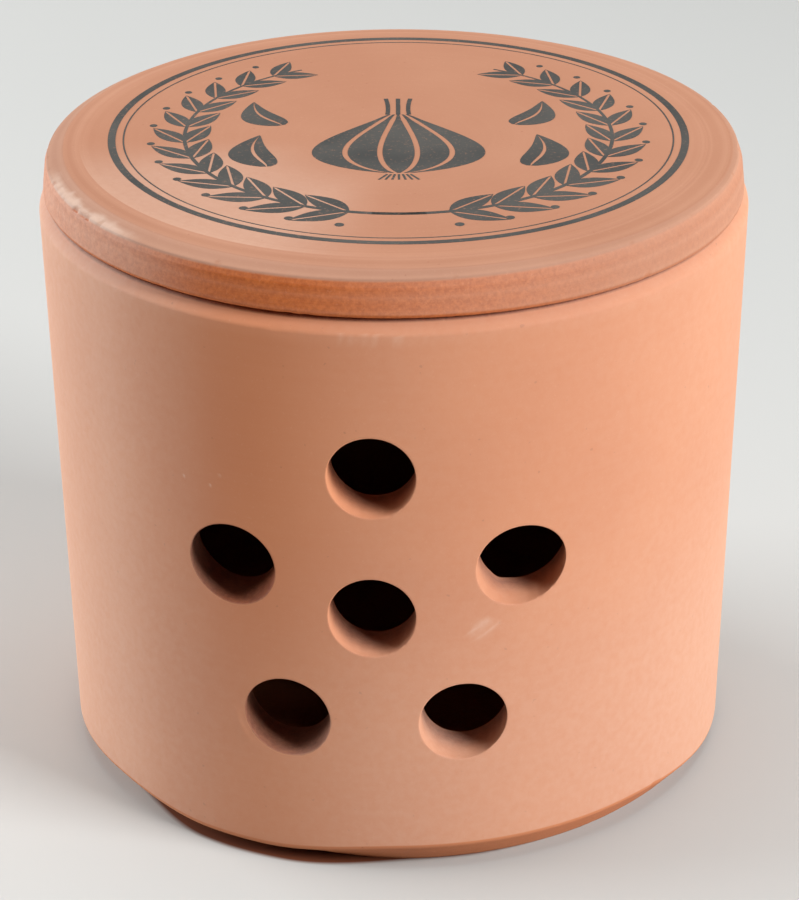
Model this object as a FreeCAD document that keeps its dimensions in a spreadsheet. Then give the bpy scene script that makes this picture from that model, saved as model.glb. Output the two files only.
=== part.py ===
"""Garlic keeper: a thick-walled terracotta pot with air holes and a loose lid.

Frame, in millimetres: +Z is up, the origin is the centre of the base, and the
air holes face -Y.  The pot and the lid are turned shapes about Z.  The holes
are straight bores, all drilled the same way along Y, so each one meets the
round wall at its own slant.
"""
import FreeCAD, Part
import os
import Sketcher

# Driving dimensions: alias, value in mm (or a count), what it sets.
SIZES = (
    ("pot_rim_radius", 65.2, "outside radius of the wall where the rim bevel starts"),
    ("pot_foot_radius", 62.3, "outside radius of the wall where the base bevel starts"),
    ("pot_height", 109.5, "from the base to the flat rim that carries the lid"),
    ("wall_thickness", 9.5, "pot wall, measured along the radius"),
    ("floor_thickness", 9.5, "pot floor"),
    ("base_bevel_width", 3.8, "radius lost at the bevel round the base"),
    ("base_bevel_height", 4.8, "height of the bevel round the base"),
    ("rim_bevel_width", 2.0, "radius lost at the outer bevel of the rim"),
    ("rim_bevel_height", 2.2, "height of the outer bevel of the rim"),
    ("mouth_bevel", 1.2, "bevel round the mouth, inside the rim"),
    ("cavity_corner_radius", 5.0, "round between the inside wall and the floor"),
    ("pot_edge_radius", 0.6, "softened turned edges of the pot"),
    ("hole_diameter", 15.5, "bore of each air hole"),
    ("hole_circle_radius", 27.0, "from the middle hole to each of the others"),
    ("hole_circle_height", 52.5, "height of the middle hole above the base"),
    ("hole_count", 5, "holes round the middle one"),
    ("hole_edge_radius", 0.4, "softened edge round each hole"),
    ("lid_setback", 0.7, "how far the lid's lower edge stands inside the pot's rim radius"),
    ("lid_side_draft", 0.55, "radius lost up the lid's side"),
    ("lid_side_height", 5.5, "height of the lid's side"),
    ("lid_collar_draft", 0.65, "radius lost up the collar above the side, which leans in more"),
    ("lid_collar_height", 2.1, "height of that collar"),
    ("lid_bevel_width", 2.0, "radius lost at the bevel above the collar"),
    ("lid_bevel_height", 1.1, "height of the bevel above the collar"),
    ("lid_shoulder_width", 3.8, "width of the gentle slope between the bevel and the flat top"),
    ("lid_shoulder_height", 0.6, "height of that slope"),
    ("lid_edge_radius", 0.5, "softened turned edges of the lid"),
    ("lid_lower_edge_radius", 0.9, "round of the lid's lower outside edge, above the rim"),
    ("seat_clearance", 1.3, "gap all round between the locating ring and the pot's mouth"),
    ("ring_depth", 6.0, "how far the locating ring reaches down into the pot"),
    ("ring_width", 6.5, "thickness of the locating ring where it joins the lid"),
    ("ring_draft", 1.0, "radius lost down each side of the locating ring"),
    ("ring_edge_radius", 1.2, "rounds under the locating ring"),
)
FULL_TURN = 360.0
ON_EDGE = 0.01


def fill_sheet(sheet):
    """Write every driving dimension into the sheet, with its alias and its meaning."""
    for row, (alias, value, meaning) in enumerate(SIZES, start=1):
        sheet.set(f"A{row}", alias)
        sheet.set(f"B{row}", str(value))
        sheet.set(f"C{row}", meaning)
        sheet.setAlias(f"B{row}", alias)


def origin_item(body, role):
    """The body's own origin plane or axis with that role."""
    return next(item for item in body.Origin.OriginFeatures if item.Role == role)


def new_sketch(body, name, role):
    """An empty sketch on one of the body's origin planes."""
    sketch = body.newObject("Sketcher::SketchObject", name)
    sketch.AttachmentSupport = [(origin_item(body, role), "")]
    sketch.MapMode = "FlatFace"
    return sketch


def place(sketch, point, corner, sizes):
    """Hold a sketch point at its radius and height, or on the axis where a size is None."""
    geometry, position = point
    for kind, suffix, axis, size in zip(("DistanceX", "DistanceY"), ("radius", "height"), (-2, -1), sizes):
        if size is None:
            sketch.addConstraint(Sketcher.Constraint("PointOnObject", geometry, position, axis))
            continue
        value = sketch.evalExpression(size)
        number = sketch.addConstraint(
            Sketcher.Constraint(kind, -1, 1, geometry, position, value))
        sketch.renameConstraint(number, f"{corner}_{suffix}")
        sketch.setExpression(f"Constraints.{corner}_{suffix}", size)


def turned_outline(body, name, corners):
    """A closed half section on the XZ plane: corner name, radius and height as expressions."""
    sketch = new_sketch(body, name, "XZ_Plane")
    spots = [FreeCAD.Vector(*(0.0 if size is None else sketch.evalExpression(size) for size in sizes), 0.0)
             for _, *sizes in corners]
    for here, there in zip(spots, spots[1:] + spots[:1]):
        sketch.addGeometry(Part.LineSegment(here, there), False)
    for index, (corner, *sizes) in enumerate(corners):
        before = (index - 1) % len(corners)
        sketch.addConstraint(Sketcher.Constraint("Coincident", before, 2, index, 1))
        place(sketch, (index, 1), corner, sizes)
    return sketch


def revolve(body, sketch, name):
    """Turn the half section once round the sketch's vertical axis."""
    turned = body.newObject("PartDesign::Revolution", name)
    turned.Profile = sketch
    turned.ReferenceAxis = (sketch, ["V_Axis"])
    turned.Angle = FULL_TURN
    sketch.Visibility = False
    return turned


def edge_circles(feature, corners):
    """Names of the feature's full circles at the given corners, each a (radius, height)."""
    wanted = []
    for number, edge in enumerate(feature.Shape.Edges, start=1):
        if not isinstance(edge.Curve, Part.Circle):
            continue
        radius, height = edge.Curve.Radius, edge.Curve.Center.z
        if any(abs(radius - r) < ON_EDGE and abs(height - z) < ON_EDGE for r, z in corners):
            wanted.append(f"Edge{number}")
    return wanted


def round_edges(body, name, feature, edges, alias):
    """Fillet the named edges of a feature with the radius that the alias holds."""
    fillet = body.newObject("PartDesign::Fillet", name)
    fillet.Base = (feature, edges)
    fillet.setExpression("Radius", f"Sizes.{alias}")
    body.Document.recompute()
    return fillet


def corner_spots(sketch, names):
    """(radius, height) of the sketch's named corners, as the constraints hold them."""
    return [(sketch.getDatum(f"{name}_radius").Value, sketch.getDatum(f"{name}_height").Value)
            for name in names]


def build_pot(doc, sheet):
    """The pot: turned wall and floor, six parallel air holes, softened edges."""
    pot = doc.addObject("PartDesign::Body", "pot")
    foot = "Sizes.pot_foot_radius"
    rim = "Sizes.pot_rim_radius"
    top = "Sizes.pot_height"
    outline = turned_outline(pot, "pot_outline", (
        ("centre", None, None),
        ("foot", f"{foot} - Sizes.base_bevel_width", None),
        ("wall_foot", foot, "Sizes.base_bevel_height"),
        ("wall_rim", rim, f"{top} - Sizes.rim_bevel_height"),
        ("rim_outside", f"{rim} - Sizes.rim_bevel_width", top),
        ("rim_inside", f"{rim} - Sizes.wall_thickness + Sizes.mouth_bevel", top),
        ("mouth", f"{rim} - Sizes.wall_thickness", f"{top} - Sizes.mouth_bevel"),
        ("cavity_corner", f"{foot} - Sizes.wall_thickness", "Sizes.floor_thickness"),
        ("floor", None, "Sizes.floor_thickness"),
    ))
    wall = revolve(pot, outline, "pot_wall")
    doc.recompute()

    corner = round_edges(pot, "cavity_corner_round", wall,
                         edge_circles(wall, corner_spots(outline, ["cavity_corner"])),
                         "cavity_corner_radius")
    turned = ["wall_foot", "wall_rim", "rim_outside", "rim_inside", "mouth"]
    soft = round_edges(pot, "turned_edges_round", corner,
                       edge_circles(corner, corner_spots(outline, turned)), "pot_edge_radius")

    middle = new_sketch(pot, "middle_hole_outline", "XZ_Plane")
    ring = new_sketch(pot, "ring_hole_outline", "XZ_Plane")
    for sketch, offset in ((middle, None), (ring, "Sizes.hole_circle_radius")):
        sketch.setExpression("AttachmentOffset.Base.y", "Sizes.hole_circle_height")
        radius = sketch.evalExpression("Sizes.hole_diameter / 2")
        height = 0.0 if offset is None else sketch.evalExpression(offset)
        sketch.addGeometry(Part.Circle(FreeCAD.Vector(0, height, 0), FreeCAD.Vector(0, 0, 1), radius), False)
        number = sketch.addConstraint(Sketcher.Constraint("Diameter", 0, 2 * radius))
        sketch.renameConstraint(number, "bore")
        sketch.setExpression("Constraints.bore", "Sizes.hole_diameter")
        place(sketch, (0, 3), "hole", (None, offset))
    doc.recompute()

    middle_hole = drill(pot, middle, "middle_hole")
    first_hole = drill(pot, ring, "ring_hole")
    holes = pot.newObject("PartDesign::PolarPattern", "ring_holes")
    holes.Originals = [first_hole]
    holes.Axis = (ring, ["N_Axis"])
    holes.Angle = FULL_TURN
    holes.setExpression("Occurrences", "Sizes.hole_count")
    pot.Tip = holes
    doc.recompute()
    check_cut(soft, middle_hole, "the middle hole")
    check_cut(middle_hole, holes, "the ring of holes")

    rims = hole_rims(holes, middle, ring, sheet)
    round_edges(pot, "hole_edges_round", holes, rims, "hole_edge_radius")
    return pot


def drill(pot, sketch, name):
    """Cut a bore from the pot's axis out through the wall on the -Y side only."""
    hole = pot.newObject("PartDesign::Pocket", name)
    hole.Profile = sketch
    hole.Type = "Length"
    hole.setExpression("Length", "Sizes.pot_rim_radius + Sizes.wall_thickness")
    hole.Reversed = True
    sketch.Visibility = False
    pot.Document.recompute()
    return hole


def check_cut(before, after, what):
    """Stop if a cut took nothing away, as one that points away from the wall would."""
    if after.Shape.Volume >= before.Shape.Volume:
        raise RuntimeError(f"{what} cut nothing")


def hole_rims(feature, middle, ring, sheet):
    """Names of the edges where the bores meet the inside and the outside of the wall."""
    centre_height = sheet.hole_circle_height
    axis = FreeCAD.Vector(0, 0, centre_height)
    first = FreeCAD.Vector(0, 0, centre_height + sheet.hole_circle_radius)
    centres = [axis]
    for number in range(int(sheet.hole_count)):
        turn = FreeCAD.Rotation(FreeCAD.Vector(0, 1, 0), FULL_TURN * number / int(sheet.hole_count))
        centres.append(axis + turn.multVec(first - axis))
    bore = sheet.hole_diameter / 2
    rims = []
    for number, edge in enumerate(feature.Shape.Edges, start=1):
        if isinstance(edge.Curve, (Part.Line, Part.LineSegment)):
            continue
        points = edge.discretize(5)
        for centre in centres:
            reach = [FreeCAD.Vector(p.x - centre.x, 0, p.z - centre.z).Length for p in points]
            if all(abs(length - bore) < ON_EDGE for length in reach):
                rims.append(f"Edge{number}")
                break
    return rims


def build_lid(doc):
    """The lid: a bevelled disc with a locating ring beneath, seated on the pot's rim."""
    lid = doc.addObject("PartDesign::Body", "lid")
    lid.setExpression("Placement.Base.z", "Sizes.pot_height")
    edge = "(Sizes.pot_rim_radius - Sizes.lid_setback)"
    side_top = f"{edge} - Sizes.lid_side_draft"
    collar_top = f"{side_top} - Sizes.lid_collar_draft"
    collar_height = "Sizes.lid_side_height + Sizes.lid_collar_height"
    bevel_top = f"{collar_top} - Sizes.lid_bevel_width"
    bevel_height = f"{collar_height} + Sizes.lid_bevel_height"
    top = f"{bevel_height} + Sizes.lid_shoulder_height"
    ring_outside = "Sizes.pot_rim_radius - Sizes.wall_thickness - Sizes.seat_clearance"
    ring_inside = f"{ring_outside} - Sizes.ring_width"
    outline = turned_outline(lid, "lid_outline", (
        ("underside", None, None),
        ("ring_root_inside", ring_inside, None),
        ("ring_foot_inside", f"{ring_inside} + Sizes.ring_draft", "-Sizes.ring_depth"),
        ("ring_foot_outside", f"{ring_outside} - Sizes.ring_draft", "-Sizes.ring_depth"),
        ("ring_root_outside", ring_outside, None),
        ("lower_edge", edge, None),
        ("side_top", side_top, "Sizes.lid_side_height"),
        ("collar_top", collar_top, collar_height),
        ("bevel_top", bevel_top, bevel_height),
        ("flat_edge", f"{bevel_top} - Sizes.lid_shoulder_width", top),
        ("top_centre", None, top),
    ))
    disc = revolve(lid, outline, "lid_disc")
    doc.recompute()
    feet = edge_circles(disc, corner_spots(outline, ["ring_foot_inside", "ring_foot_outside"]))
    ring = round_edges(lid, "ring_edges_round", disc, feet, "ring_edge_radius")
    lower = edge_circles(ring, [(outline.getDatum("lower_edge_radius").Value, 0.0)])
    seat = round_edges(lid, "lower_edge_round", ring, lower, "lid_lower_edge_radius")
    turned = edge_circles(seat, corner_spots(outline, ["side_top", "collar_top", "bevel_top"]))
    round_edges(lid, "turned_edges_round_lid", seat, turned, "lid_edge_radius")
    return lid


def check_document(doc, bodies):
    """Stop if any feature failed or any piece isn't one valid closed solid."""
    for obj in doc.Objects:
        if "Invalid" in obj.State or "Error" in obj.State:
            raise RuntimeError(f"{obj.Name} did not compute: {obj.State}")
    for body in bodies:
        if body.Shape.isNull() or not body.Shape.isValid() or len(body.Shape.Solids) != 1:
            raise RuntimeError(f"{body.Label} is not one valid solid")


def main():
    doc = FreeCAD.newDocument("garlic_keeper")
    sheet = doc.addObject("Spreadsheet::Sheet", "Sizes")
    fill_sheet(sheet)
    doc.recompute()
    bodies = [build_pot(doc, sheet), build_lid(doc)]
    doc.recompute()
    check_document(doc, bodies)
    os.makedirs("parts", exist_ok=True)
    for body in bodies:
        body.Shape.exportStep(f"parts/{body.Label}.step")
        box = body.Shape.BoundBox
        print(f"{body.Label}: volume {body.Shape.Volume:.0f} mm3, "
              f"x {box.XMin:.2f} to {box.XMax:.2f}, y {box.YMin:.2f} to {box.YMax:.2f}, "
              f"z {box.ZMin:.2f} to {box.ZMax:.2f}")


main()
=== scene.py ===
import math

import bpy
import numpy as np
from mathutils import Matrix, Vector, geometry


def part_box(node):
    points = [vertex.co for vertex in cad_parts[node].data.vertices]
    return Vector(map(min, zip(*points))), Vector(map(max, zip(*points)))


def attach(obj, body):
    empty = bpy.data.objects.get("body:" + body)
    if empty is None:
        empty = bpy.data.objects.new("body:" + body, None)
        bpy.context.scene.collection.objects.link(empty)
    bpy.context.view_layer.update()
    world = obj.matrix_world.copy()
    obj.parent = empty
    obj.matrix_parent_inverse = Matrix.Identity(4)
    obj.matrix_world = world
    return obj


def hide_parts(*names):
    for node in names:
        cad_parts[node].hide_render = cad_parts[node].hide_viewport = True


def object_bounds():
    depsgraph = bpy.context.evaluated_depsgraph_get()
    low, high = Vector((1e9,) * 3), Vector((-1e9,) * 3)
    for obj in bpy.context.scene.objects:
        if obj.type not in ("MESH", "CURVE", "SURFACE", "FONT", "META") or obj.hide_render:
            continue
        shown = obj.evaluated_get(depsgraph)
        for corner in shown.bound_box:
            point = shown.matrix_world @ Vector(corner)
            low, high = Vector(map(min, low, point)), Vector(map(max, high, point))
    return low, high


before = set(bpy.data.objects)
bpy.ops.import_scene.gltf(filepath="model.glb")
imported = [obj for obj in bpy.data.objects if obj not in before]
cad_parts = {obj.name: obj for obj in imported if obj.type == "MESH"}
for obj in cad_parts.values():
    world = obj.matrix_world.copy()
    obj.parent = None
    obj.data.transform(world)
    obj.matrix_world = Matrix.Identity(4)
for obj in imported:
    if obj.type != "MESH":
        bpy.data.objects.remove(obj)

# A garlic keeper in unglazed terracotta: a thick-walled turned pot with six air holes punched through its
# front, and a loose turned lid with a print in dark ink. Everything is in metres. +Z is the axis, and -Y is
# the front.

cad_low, cad_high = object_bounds()
pot_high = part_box("pot")[1]
lid_low, lid_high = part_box("lid")

# ---------------------------------------------------------------- sizes of the pot

POT_TOP = pot_high.z
RIM_RADIUS = pot_high.x
FOOT_RADIUS = 0.0623
BASE_BEVEL_WIDTH = 0.0038
BASE_BEVEL_HEIGHT = 0.0048
RIM_BEVEL_WIDTH = 0.0020
RIM_BEVEL_HEIGHT = 0.0022
WALL = 0.0095
MOUTH_BEVEL = 0.0012
FLOOR = 0.0095
CAVITY_CORNER = 0.005
POT_EDGE = 0.0006

HOLE_RADIUS = 0.00775
HOLE_CIRCLE_RADIUS = 0.027
HOLE_CIRCLE_HEIGHT = 0.0525
HOLE_COUNT = 5
HOLE_EDGE = 0.00022

# ---------------------------------------------------------------- sizes of the lid

LID_SEAT = POT_TOP
LID_RADIUS = lid_high.x
LID_LIFT = 0.00065
LID_THICKNESS = lid_high.z - LID_SEAT - LID_LIFT
LID_SIDE_HEIGHT = 0.0053
LID_SIDE_DRAFT = 0.00055
LID_COLLAR_HEIGHT = 0.0018
LID_COLLAR_DRAFT = 0.00065
LID_BEVEL_WIDTH = 0.0021
LID_SHOULDER_WIDTH = 0.0037
LID_SHOULDER_HEIGHT = 0.00055
LID_LOWER_EDGE = 0.0009
LID_EDGE = 0.0005
RING_OUTSIDE = 0.0544
RING_DRAFT = 0.0010
RING_WIDTH = 0.0065
RING_DEPTH = LID_SEAT - lid_low.z
RING_EDGE = 0.0012
PRINT_ROOM = 0.00005

# ---------------------------------------------------------------- how finely the clay is built

# POLE is the radius of the small fan of faces that closes the middle of a turned surface.
POLE = 0.0015
ARC_STEPS = 4
POT_SEGMENTS = 480
LID_SEGMENTS = 900
HOLE_SEGMENTS = 128


# ---------------------------------------------------------------- turning a half section

def unit(vector):
    return vector / np.linalg.norm(vector)


def rounded_outline(corners):
    """Rows of a half section, each with the number of the run it is on, or of the arc as minus that number.

    A corner is (radius, height, rounding, spacing), with the spacing of the rows on the run that ends in it.
    """
    points, runs = [], []
    here = np.array(corners[0][:2])
    for number in range(1, len(corners)):
        corner = np.array(corners[number][:2])
        rounding, spacing = corners[number][2:]
        stop = after = corner
        if rounding:
            back = unit(here - corner)
            onward = unit(np.array(corners[number + 1][:2]) - corner)
            half_angle = math.acos(np.clip(back @ onward, -1, 1)) / 2
            reach = rounding / math.tan(half_angle)
            stop, after = corner + back * reach, corner + onward * reach
        count = max(1, math.ceil(np.linalg.norm(stop - here) / spacing))
        points += [here + (stop - here) * k / count for k in range(count)]
        runs += [number] * count
        if rounding:
            centre = corner + unit(back + onward) * rounding / math.sin(half_angle)
            first = math.atan2(*(stop - centre)[::-1])
            turn = math.atan2(*(after - centre)[::-1]) - first
            turn = (turn + math.pi) % math.tau - math.pi
            for k in range(ARC_STEPS):
                angle = first + turn * k / ARC_STEPS
                points.append(centre + rounding * np.array([math.cos(angle), math.sin(angle)]))
            runs += [-number] * ARC_STEPS
        here = after
    points.append(here)
    runs.append(len(corners) - 1)
    return np.array(points), np.array(runs)


def seam_angles(segments):
    """Angles round the axis from the seam at the back: 0 is the front, and they grow towards +X."""
    return np.arange(segments) * math.tau / segments - math.pi


def around(radius, angle, height):
    across, back, up = np.broadcast_arrays(radius * np.sin(angle), -radius * np.cos(angle), height)
    return np.stack([across, back, up], axis=-1)


def outline_normals(outline):
    """The direction out of the clay at each row, in the half section."""
    along = np.gradient(outline, axis=0)
    along /= np.linalg.norm(along, axis=1)[:, None]
    return np.stack([along[:, 1], -along[:, 0]], axis=1)


def row_drift(runs, moves):
    """How far each row moves, as (radius, height), when the corners of its half section move."""
    drift = np.zeros((len(runs), 2))
    for number in range(1, len(moves)):
        rows = runs == number
        share = np.linspace(0, 1, rows.sum())[:, None]
        drift[rows] = moves[number - 1] * (1 - share) + moves[number] * share
        drift[runs == -number] = moves[number]
    return drift


def outline_lengths(outline):
    steps = np.linalg.norm(np.diff(outline, axis=0), axis=1)
    return np.concatenate([[0], np.cumsum(steps)])


def smooth(low, high, value):
    """0 below low, 1 above high, and a soft step between them."""
    t = np.clip((value - low) / (high - low), 0, 1)
    return t * t * (3 - 2 * t)


def turned_flat(spots, angle):
    """Spots (u, v) turned anticlockwise round (0, 0)."""
    spots = np.asarray(spots, float)
    cos, sin = math.cos(angle), math.sin(angle)
    return np.stack([spots[:, 0] * cos - spots[:, 1] * sin, spots[:, 0] * sin + spots[:, 1] * cos], axis=1)


def facing(angles, middle, full, none):
    """1 within `full` degrees of a direction round the axis, 0 beyond `none` degrees of it, soft between."""
    away = np.abs(np.mod(angles - math.radians(middle) + math.pi, math.tau) - math.pi)
    return smooth(math.radians(none), math.radians(full), away)


NOISE_CELLS = 64


def clay_noise(points, cell, seed):
    """Soft bumps from -1 to 1 about one cell wide, the same on each run."""
    table = np.random.default_rng(seed).uniform(-1, 1, (NOISE_CELLS, NOISE_CELLS, NOISE_CELLS))
    scaled = points / cell
    corner = np.floor(scaled).astype(int)
    t = scaled - corner
    t = t * t * (3 - 2 * t)
    total = 0
    for offset in np.ndindex(2, 2, 2):
        share = np.prod([t[..., k] if offset[k] else 1 - t[..., k] for k in range(3)], axis=0)
        at = (corner + offset) % NOISE_CELLS
        total = total + share * table[at[..., 0], at[..., 1], at[..., 2]]
    return total


def placed(name, material, points, faces, **layers):
    """Puts a piece in the scene. A layer gives each point a value, which the material reads by its name."""
    mesh = bpy.data.meshes.new(name)
    mesh.from_pydata(points.tolist(), [], faces)
    for label, values in layers.items():
        layer = mesh.attributes.new(label, "FLOAT", "POINT")
        layer.data.foreach_set("value", values.astype(np.float32))
    mesh.materials.append(material)
    piece = bpy.data.objects.new(name, mesh)
    bpy.context.scene.collection.objects.link(piece)
    return piece


class Clay:
    """The points and faces of one piece while it is made, with each point's wear and painted light, and its
    torn clay and painted shade.
    """

    def __init__(self):
        self.points, self.worn, self.raw, self.faces = [], [], [], []
        self.count = 0

    def add(self, points, worn=0.0, raw=0.0):
        """Adds an array of points and gives their numbers in the same layout."""
        shape = points.shape[:-1]
        self.points.append(points.reshape(-1, 3))
        self.worn.append(np.broadcast_to(worn, shape).reshape(-1))
        self.raw.append(np.broadcast_to(raw, shape).reshape(-1))
        numbers = self.count + np.arange(np.prod(shape, dtype=int)).reshape(shape)
        self.count += numbers.size
        return numbers

    def band(self, first, second):
        """Quads between two closed loops of equal length."""
        quads = np.stack([first, np.roll(first, -1), np.roll(second, -1), second], axis=-1)
        self.faces += quads.reshape(-1, 4).tolist()

    def fan(self, loop, centre, flip=False):
        ends = (np.roll(loop, -1), loop) if flip else (loop, np.roll(loop, -1))
        self.faces += np.stack([*ends, np.full(len(loop), centre)], axis=-1).tolist()

    def finished(self, name, material):
        layers = {"worn": np.concatenate(self.worn), "raw": np.concatenate(self.raw)}
        piece = placed(name, material, np.concatenate(self.points), self.faces, **layers)
        piece.data.shade_smooth()
        return piece


def turned(clay, outline, segments, drift, loss, worn, raw, windows=()):
    """Turns an outline round the axis, with its drift and less the lost clay, and leaves the windows open.

    A window is (first row, last row, first column, last column). The numbers of the points come back.
    """
    angles = seam_angles(segments)
    normals = outline_normals(outline)
    radius = outline[:, 0, None] + drift[..., 0] - normals[:, 0, None] * loss
    height = outline[:, 1, None] + drift[..., 1] - normals[:, 1, None] * loss
    numbers = clay.add(around(radius, angles[None, :], height), worn, raw)
    shut = np.ones((len(outline) - 1, segments), bool)
    for low, high, left, right in windows:
        shut[low:high, left:right] = False
    here, after = numbers, np.roll(numbers, -1, axis=1)
    quads = np.stack([here[:-1], after[:-1], after[1:], here[1:]], axis=-1)
    clay.faces += quads[shut].tolist()
    for row, flip in ((0, True), (-1, False)):
        pole = clay.add(np.array([[0, 0, outline[row, 1]]]), worn[row].mean(), raw[row].mean())[0]
        clay.fan(numbers[row], pole, flip)
    return numbers


ALL_ROUND = (-math.pi, math.pi)
CHIP_GRAIN = 0.0007
CHIP_RAGGEDNESS = 0.45
CHIP_STRETCH = 1.4
CHIP_RIM = 0.5
CHIP_RAGGED_TO = 1.5


def chips(edge, spread, heights, count, sizes, depths, seed):
    """Small bits knocked off an edge: rows of (angle, place along the outline, half width, depth).

    The edge is its place along the outline, and the heights are measured from there.
    """
    draw = np.random.default_rng(seed)
    size = draw.uniform(*sizes, count)
    depth = draw.uniform(*depths, count) * size / sizes[1]
    angle = draw.uniform(*spread, count)
    along = draw.uniform(edge + heights[0], edge + heights[1], count)
    return np.stack([angle, along, size, depth], axis=1)


def chipped(angles, lengths, radius, spots, seed):
    """Depth lost at each row and column to the chips, which are scoops with ragged edges."""
    places = np.stack(np.broadcast_arrays(angles[None, :] * radius, lengths[:, None], 0.0), axis=-1)
    ragged = CHIP_RAGGEDNESS * clay_noise(places, CHIP_GRAIN, seed)
    lost = np.zeros(places.shape[:2])
    for angle, along, size, depth in spots:
        across = (np.mod(angles - angle + math.pi, math.tau) - math.pi)[None, :] * radius
        away = (across / (CHIP_STRETCH * size)) ** 2 + ((lengths[:, None] - along) / size) ** 2
        inside = 1 - away + ragged * (away < CHIP_RAGGED_TO)
        lost = np.maximum(lost, depth * smooth(0, CHIP_RIM, inside))
    return lost


# ---------------------------------------------------------------- pot

WALL_SLOPE = (RIM_RADIUS - FOOT_RADIUS) / (POT_TOP - RIM_BEVEL_HEIGHT - BASE_BEVEL_HEIGHT)


def wall_radius(height):
    """Outside radius of the tapering wall."""
    return FOOT_RADIUS + (height - BASE_BEVEL_HEIGHT) * WALL_SLOPE


def cavity_radius(height):
    """Inside radius of the tapering wall."""
    mouth = RIM_RADIUS - WALL
    widening = (mouth - FOOT_RADIUS + WALL) * (height - FLOOR) / (POT_TOP - MOUTH_BEVEL - FLOOR)
    return FOOT_RADIUS - WALL + widening


# The runs of the pot's half section, in order. A run ends at the corner of its own number, and the rounding
# of that corner has minus its number.
UNDERSIDE_RUN, FOOT_BEVEL_RUN, WALL_RUN, RIM_BEVEL_RUN, RIM_TOP_RUN, MOUTH_RUN, CAVITY_RUN = range(1, 8)


def pot_corners():
    """Half section from the middle of the underside, up the wall, over the rim and down to the floor."""
    return [
        (POLE, 0, 0, 0),
        (FOOT_RADIUS - BASE_BEVEL_WIDTH, 0, POT_EDGE, 0.005),
        (FOOT_RADIUS, BASE_BEVEL_HEIGHT, 2 * POT_EDGE, 0.0008),
        (RIM_RADIUS, POT_TOP - RIM_BEVEL_HEIGHT, 2 * POT_EDGE, 0.002),
        (RIM_RADIUS - RIM_BEVEL_WIDTH, POT_TOP, POT_EDGE, 0.0005),
        (RIM_RADIUS - WALL + MOUTH_BEVEL, POT_TOP, POT_EDGE, 0.001),
        (RIM_RADIUS - WALL, POT_TOP - MOUTH_BEVEL, POT_EDGE, 0.0006),
        (cavity_radius(FLOOR), FLOOR, CAVITY_CORNER, 0.0035),
        (POLE, FLOOR, 0, 0.006),
    ]


# How far each hole strays, (sideways, up): from the one at the top round to its right, and the middle one.
HOLE_STRAYS = (
    (-0.00036, 0.0005),
    (-0.0002, 0.0001),
    (-0.00045, 0.0),
    (-0.00015, 0.0),
    (0.0003, -0.00085),
    (-0.0005, -0.0001),
)


def hole_centres():
    """(sideways, height) of each air hole: a ring with one hole at the top, and one in its middle.

    They are punched by hand, so each strays a little from its place.
    """
    turns = [math.tau * k / HOLE_COUNT for k in range(HOLE_COUNT)]
    ring = [(HOLE_CIRCLE_RADIUS * math.sin(t), HOLE_CIRCLE_RADIUS * math.cos(t)) for t in turns]
    places = [*ring, (0.0, 0.0)]
    return [(u + stray[0], HOLE_CIRCLE_HEIGHT + v + stray[1]) for (u, v), stray in zip(places, HOLE_STRAYS)]


# Distances between a hole's rounded edge and the loops round it, outside and inside the wall.
HOLE_OUTER_LOOPS = (0.0026, 0.0018, 0.0011, 0.0006, 0.0002)
HOLE_INNER_LOOPS = (0.0008, 0.0022)
HOLE_RIM_STEPS = 5
BORE_STEPS = 8


def on_wall(radius_at, centre, turn, reach):
    """Points of a wall at a distance from a hole's axis, which runs straight through the wall along Y."""
    across = centre[0] + reach * np.cos(turn)
    height = centre[1] + reach * np.sin(turn)
    return np.stack([across, -np.sqrt(radius_at(height) ** 2 - across ** 2), height], axis=-1)


def hole_rim(corner, before, after):
    """Loops that round an edge off, from one loop to another, with the sharp edge between them."""
    shares = np.linspace(0, 1, HOLE_RIM_STEPS)
    return [before * (1 - t) ** 2 + corner * 2 * t * (1 - t) + after * t * t for t in shares]


# For each hole, in the same order: how much its edge is nicked, and the loop from which its clay is torn,
# and painted darker as shade deeper in the bore.
NICKED_HOLES = (1.2, 1.8, 0.3, 0.5, 0.4, 1.4)
TORN_AND_SHADED_FROM = (4, 5, 4, -3, -3, 3.5)
TORN_AND_SHADED_FADE = 6
CAVITY_RAW = 0.6
NICK_COUNT = 5
NICK_TURN, NICK_SPREAD = -0.95, 0.18
NICK_WIDTHS = (0.025, 0.06)
NICK_DEPTHS = (0.0001, 0.00035)
EDGE_UNEVENNESS, EDGE_BUMP = 0.35, 0.004
INNER_EDGE_UNEVENNESS, INNER_EDGE_BUMP = 0.5, 0.003
NOISE_CIRCLE = 0.01
BITTEN_HOLE = 1
BITE_TURN = math.radians(-124)
BITE_WIDTH = math.radians(11)
BITE_DEPTH = 0.0011
LIPPED_HOLE = 3
LIP_TURN = math.radians(-160)
LIP_WIDTH = math.radians(22)
LIP_HEIGHTS = (0.00022, 0.000132)
DRAG_DEPTH = 0.00007
DRAG_BUMP = 0.004
DRAG_CLOSENESS = 3


def hump(turn, middle, width):
    return np.exp(-((turn - middle) / width) ** 2)


def nicks(turn, amount, seed):
    """How much of a hole's edge is gone at each turn: a few crumbs, low on the right."""
    draw = np.random.default_rng(seed)
    gone = np.zeros_like(turn)
    for middle in draw.normal(NICK_TURN, NICK_SPREAD, NICK_COUNT):
        width, depth = draw.uniform(*NICK_WIDTHS), draw.uniform(*NICK_DEPTHS)
        gone = np.maximum(gone, amount * depth * hump(turn, middle, width))
    return gone


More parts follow.
